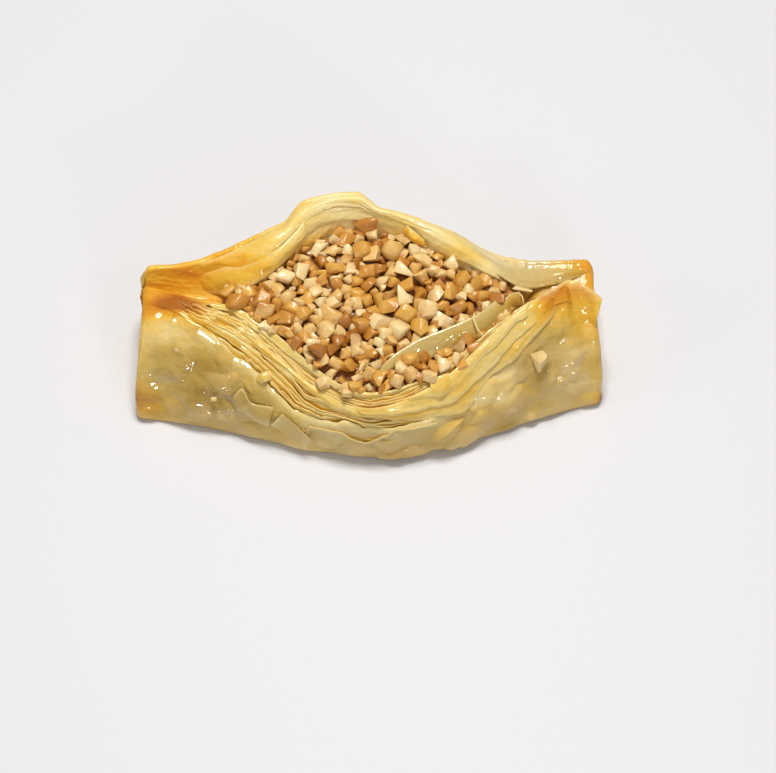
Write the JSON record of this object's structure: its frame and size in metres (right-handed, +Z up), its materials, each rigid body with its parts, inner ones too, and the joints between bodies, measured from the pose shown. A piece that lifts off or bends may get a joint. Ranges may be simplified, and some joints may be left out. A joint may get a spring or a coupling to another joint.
{
  "type": "baklava",
  "caption": "Boat-shaped baklava: layered phyllo leaves pinched together at both ends and gaping in the middle over a bed of chopped nuts.",
  "frame": {"origin": "centre of the bounding box, at the flat base", "axes": "+Z up, away from the base; +X along the length, from the left pinched end to the right one; +Y towards the higher back lip"},
  "size_m": [0.1, 0.051, 0.0279],
  "materials": {
    "phyllo": "glossy, wet with syrup",
    "chopped_nuts": "satin, lightly coated with syrup"
  },
  "bodies": {
    "root": {"pastry": "phyllo", "nut_filling": "chopped_nuts"}
  },
  "joints": []
}
